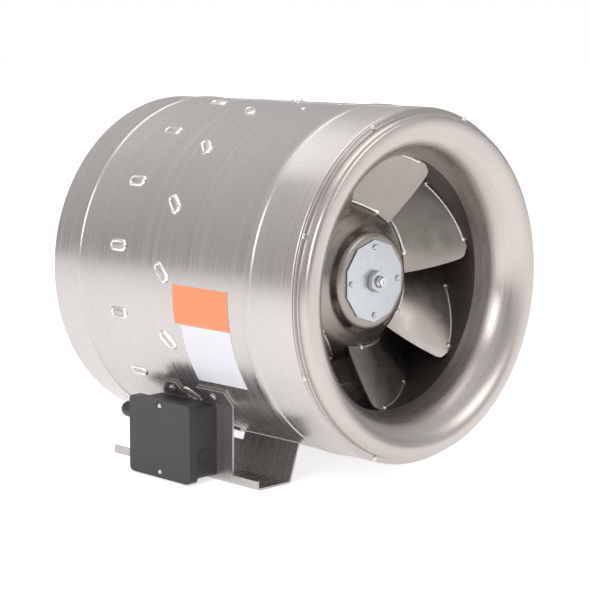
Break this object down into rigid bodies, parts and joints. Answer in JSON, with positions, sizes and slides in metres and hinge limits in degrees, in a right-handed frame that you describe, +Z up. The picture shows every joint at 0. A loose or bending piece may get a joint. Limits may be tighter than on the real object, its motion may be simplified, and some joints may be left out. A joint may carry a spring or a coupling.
{
  "type": "inline duct fan",
  "caption": "Round inline mixed-flow duct fan for an exhaust hood: bell mouth inlet, spinning bladed impeller, guide vanes, terminal box and floor feet.",
  "frame": {"origin": "middle of the footprint, on the floor under the feet", "axes": "+Z up; the fan's axis runs along Y and the bell mouth opens towards -Y; the terminal box is on the -X side"},
  "size_m": [0.4024, 0.4154, 0.4264],
  "materials": {
    "blanking_plug": "moulded",
    "cable_gland": "fine moulded texture",
    "casing_shell": "satin sheet steel",
    "front_bearing": "ground",
    "guide_vane_01": "satin sheet steel",
    "guide_vane_02": "satin sheet steel",
    "guide_vane_03": "satin sheet steel",
    "guide_vane_04": "satin sheet steel",
    "guide_vane_05": "satin sheet steel",
    "guide_vane_06": "satin sheet steel",
    "guide_vane_07": "satin sheet steel",
    "guide_vane_08": "satin sheet steel",
    "guide_vane_09": "satin sheet steel",
    "guide_vane_10": "satin sheet steel",
    "guide_vane_11": "satin sheet steel",
    "guide_vane_12": "satin sheet steel",
    "guide_vane_13": "satin sheet steel",
    "guide_vane_14": "satin sheet steel",
    "guide_vane_15": "satin sheet steel",
    "guide_vane_16": "satin sheet steel",
    "housing_rear_cover": "satin sheet steel",
    "hub_cover_plate": "zinc plated",
    "impeller_blade_1": "satin sheet steel",
    "impeller_blade_2": "satin sheet steel",
    "impeller_blade_3": "satin sheet steel",
    "impeller_blade_4": "satin sheet steel",
    "impeller_blade_5": "satin sheet steel",
    "impeller_blade_6": "satin sheet steel",
    "impeller_blade_7": "satin sheet steel",
    "impeller_hub": "satin sheet steel",
    "impeller_shroud": "satin sheet steel",
    "inlet_bell": "satin sheet steel",
    "left_foot": "satin sheet steel",
    "left_foot_screw_front": "zinc plated",
    "left_foot_screw_rear": "zinc plated",
    "lid_gasket": "matt",
    "lid_screw_bottom": "zinc plated",
    "lid_screw_top": "zinc plated",
    "motor_housing": "satin sheet steel",
    "motor_lead": "matt",
    "motor_shaft": "ground",
    "motor_stator": "lacquered winding and core",
    "motor_support_plate": "zinc plated",
    "plate_screw_1": "zinc plated",
    "plate_screw_2": "zinc plated",
    "plate_screw_3": "zinc plated",
    "plate_screw_4": "zinc plated",
    "rear_bearing": "ground",
    "right_foot": "satin sheet steel",
    "right_foot_screw_front": "zinc plated",
    "right_foot_screw_rear": "zinc plated",
    "rotor_can": "as cast",
    "run_capacitor": "moulded",
    "shaft_nut": "zinc plated",
    "terminal_block": "moulded",
    "terminal_box_base": "fine moulded texture",
    "terminal_box_lid": "fine moulded texture"
  },
  "bodies": {
    "casing": {"blanking_plug": "blanking_plug", "cable_gland": "cable_gland", "casing_shell": "casing_shell", "front_bearing": "front_bearing", "guide_vane_01": "guide_vane_01", "guide_vane_02": "guide_vane_02", "guide_vane_03": "guide_vane_03", "guide_vane_04": "guide_vane_04", "guide_vane_05": "guide_vane_05", "guide_vane_06": "guide_vane_06", "guide_vane_07": "guide_vane_07", "guide_vane_08": "guide_vane_08", "guide_vane_09": "guide_vane_09", "guide_vane_10": "guide_vane_10", "guide_vane_11": "guide_vane_11", "guide_vane_12": "guide_vane_12", "guide_vane_13": "guide_vane_13", "guide_vane_14": "guide_vane_14", "guide_vane_15": "guide_vane_15", "guide_vane_16": "guide_vane_16", "housing_rear_cover": "housing_rear_cover", "inlet_bell": "inlet_bell", "left_foot": "left_foot", "left_foot_screw_front": "left_foot_screw_front", "left_foot_screw_rear": "left_foot_screw_rear", "lid_gasket": "lid_gasket", "lid_screw_bottom": "lid_screw_bottom", "lid_screw_top": "lid_screw_top", "motor_housing": "motor_housing", "motor_lead": "motor_lead", "motor_stator": "motor_stator", "motor_support_plate": "motor_support_plate", "rear_bearing": "rear_bearing", "right_foot": "right_foot", "right_foot_screw_front": "right_foot_screw_front", "right_foot_screw_rear": "right_foot_screw_rear", "run_capacitor": "run_capacitor", "terminal_block": "terminal_block", "terminal_box_base": "terminal_box_base", "terminal_box_lid": "terminal_box_lid"},
    "rotor": {"rotor_can": "rotor_can", "motor_shaft": "motor_shaft", "impeller_hub": "impeller_hub", "impeller_shroud": "impeller_shroud", "hub_cover_plate": "hub_cover_plate", "shaft_nut": "shaft_nut", "plate_screw_1": "plate_screw_1", "plate_screw_2": "plate_screw_2", "plate_screw_3": "plate_screw_3", "plate_screw_4": "plate_screw_4", "impeller_blade_1": "impeller_blade_1", "impeller_blade_2": "impeller_blade_2", "impeller_blade_3": "impeller_blade_3", "impeller_blade_4": "impeller_blade_4", "impeller_blade_5": "impeller_blade_5", "impeller_blade_6": "impeller_blade_6", "impeller_blade_7": "impeller_blade_7"}
  },
  "joints": [
    {"name": "impeller_spin", "type": "hinge", "parent": "casing", "child": "rotor", "pos_m": [0, -0.0723, 0.2252], "axis": [0, 1, 0], "continuous": true}
  ]
}
